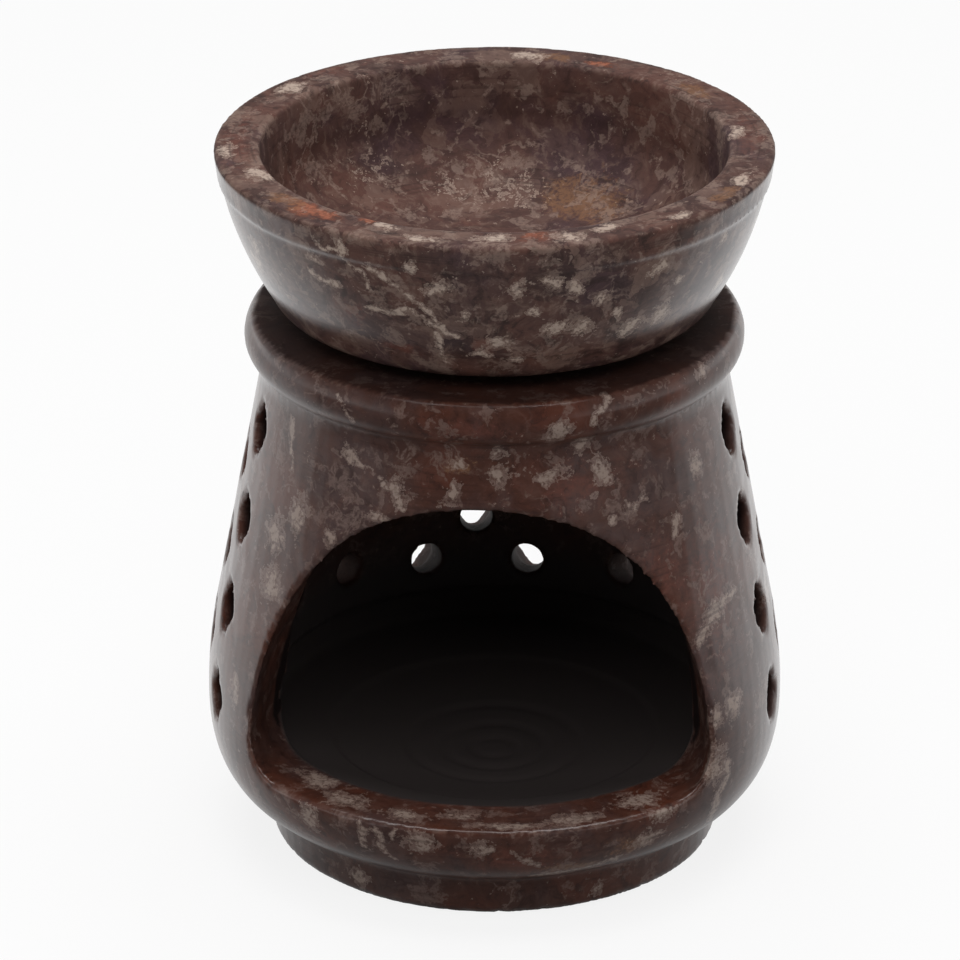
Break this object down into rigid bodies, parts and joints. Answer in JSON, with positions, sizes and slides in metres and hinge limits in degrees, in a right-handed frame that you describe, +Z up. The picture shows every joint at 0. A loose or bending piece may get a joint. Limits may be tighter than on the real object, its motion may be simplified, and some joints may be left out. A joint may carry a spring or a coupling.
{
  "type": "oil burner",
  "caption": "Carved soapstone oil burner: a pierced round base with an arched candle opening, and a loose turned bowl resting on its collar for oil and water.",
  "frame": {"origin": "centre of the foot's flat underside", "axes": "+Z up along the turning axis, -Y out of the arched opening, +X to the right when looking into the opening"},
  "size_m": [0.0808, 0.0806, 0.1022],
  "materials": {
    "base_stone": "hand-polished and waxed red-brown soapstone with pale flecks",
    "bowl_stone": "hand-polished and waxed brown soapstone with pale grey and cream veins"
  },
  "bodies": {
    "base": {"burner_base": "base_stone"},
    "bowl": {"oil_bowl": "bowl_stone"}
  },
  "joints": [
    {"name": "bowl_lift", "type": "slide", "parent": "base", "child": "bowl", "axis": [0, 0, 1], "range_m": [0, 0.06]}
  ]
}
